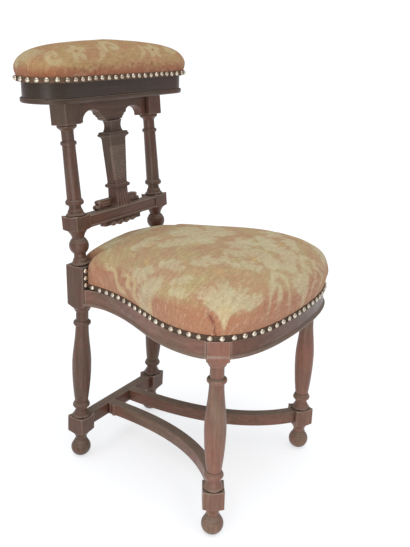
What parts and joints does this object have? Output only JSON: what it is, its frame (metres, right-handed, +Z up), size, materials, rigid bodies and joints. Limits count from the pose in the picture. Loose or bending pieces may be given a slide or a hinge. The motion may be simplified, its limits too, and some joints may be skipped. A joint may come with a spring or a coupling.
{
  "type": "smoking chair",
  "caption": "Low upholstered smoking chair on turned legs, with a waisted needlepoint seat and a padded box rail on its back whose hinged lid opens on a shallow compartment.",
  "frame": {"origin": "on the floor under the middle of the chair's bounding box", "axes": "+Z up, -Y towards the front edge of the seat, +X to the right of a viewer who faces the front"},
  "size_m": [0.4568, 0.5287, 0.8815],
  "materials": {
    "walnut": "dark polished walnut, worn satin",
    "tapestry": "faded wool needlepoint",
    "braid": "dark woven braid",
    "jute": "plain woven jute",
    "horsehair": "curled hair and wadding",
    "spring_steel": "dull drawn wire",
    "brass": "aged brass"
  },
  "bodies": {
    "chair": {"arched_apron": "walnut", "back_splat": "walnut", "box_base": "walnut", "box_wall": "walnut", "curved_stretcher_left": "walnut", "curved_stretcher_right": "walnut", "divider_left": "walnut", "divider_right": "walnut", "front_leg_left": "walnut", "front_leg_right": "walnut", "front_rail": "walnut", "hinge_left_box_leaf": "brass", "hinge_left_box_screw_1": "brass", "hinge_left_box_screw_2": "brass", "hinge_left_pin": "brass", "hinge_right_box_leaf": "brass", "hinge_right_box_screw_1": "brass", "hinge_right_box_screw_2": "brass", "hinge_right_pin": "brass", "lower_back_rail": "walnut", "rail_pendant": "walnut", "rear_post_left": "walnut", "rear_post_right": "walnut", "rear_rail": "walnut", "rear_stretcher": "walnut", "scroll_left": "walnut", "scroll_right": "walnut", "seat_braid": "braid", "seat_cover": "tapestry", "seat_spring_1": "spring_steel", "seat_spring_2": "spring_steel", "seat_spring_3": "spring_steel", "seat_spring_4": "spring_steel", "seat_spring_5": "spring_steel", "seat_stuffing": "horsehair", "side_rail_left": "walnut", "side_rail_right": "walnut", "spring_canvas": "jute", "web_cross_1": "jute", "web_cross_2": "jute", "web_cross_3": "jute", "web_length_1": "jute", "web_length_2": "jute", "web_length_3": "jute"},
    "lid": {"hinge_left_lid_leaf": "brass", "hinge_left_lid_screw_1": "brass", "hinge_left_lid_screw_2": "brass", "hinge_right_lid_leaf": "brass", "hinge_right_lid_screw_1": "brass", "hinge_right_lid_screw_2": "brass", "lid_board": "walnut", "lid_braid": "braid", "lid_cover": "tapestry", "lid_stuffing": "horsehair"}
  },
  "joints": [
    {"name": "lid_hinge", "type": "hinge", "parent": "chair", "child": "lid", "pos_m": [0, 0.2564, 0.8072], "axis": [-1, 0, 0], "range_deg": [0, 100]}
  ]
}
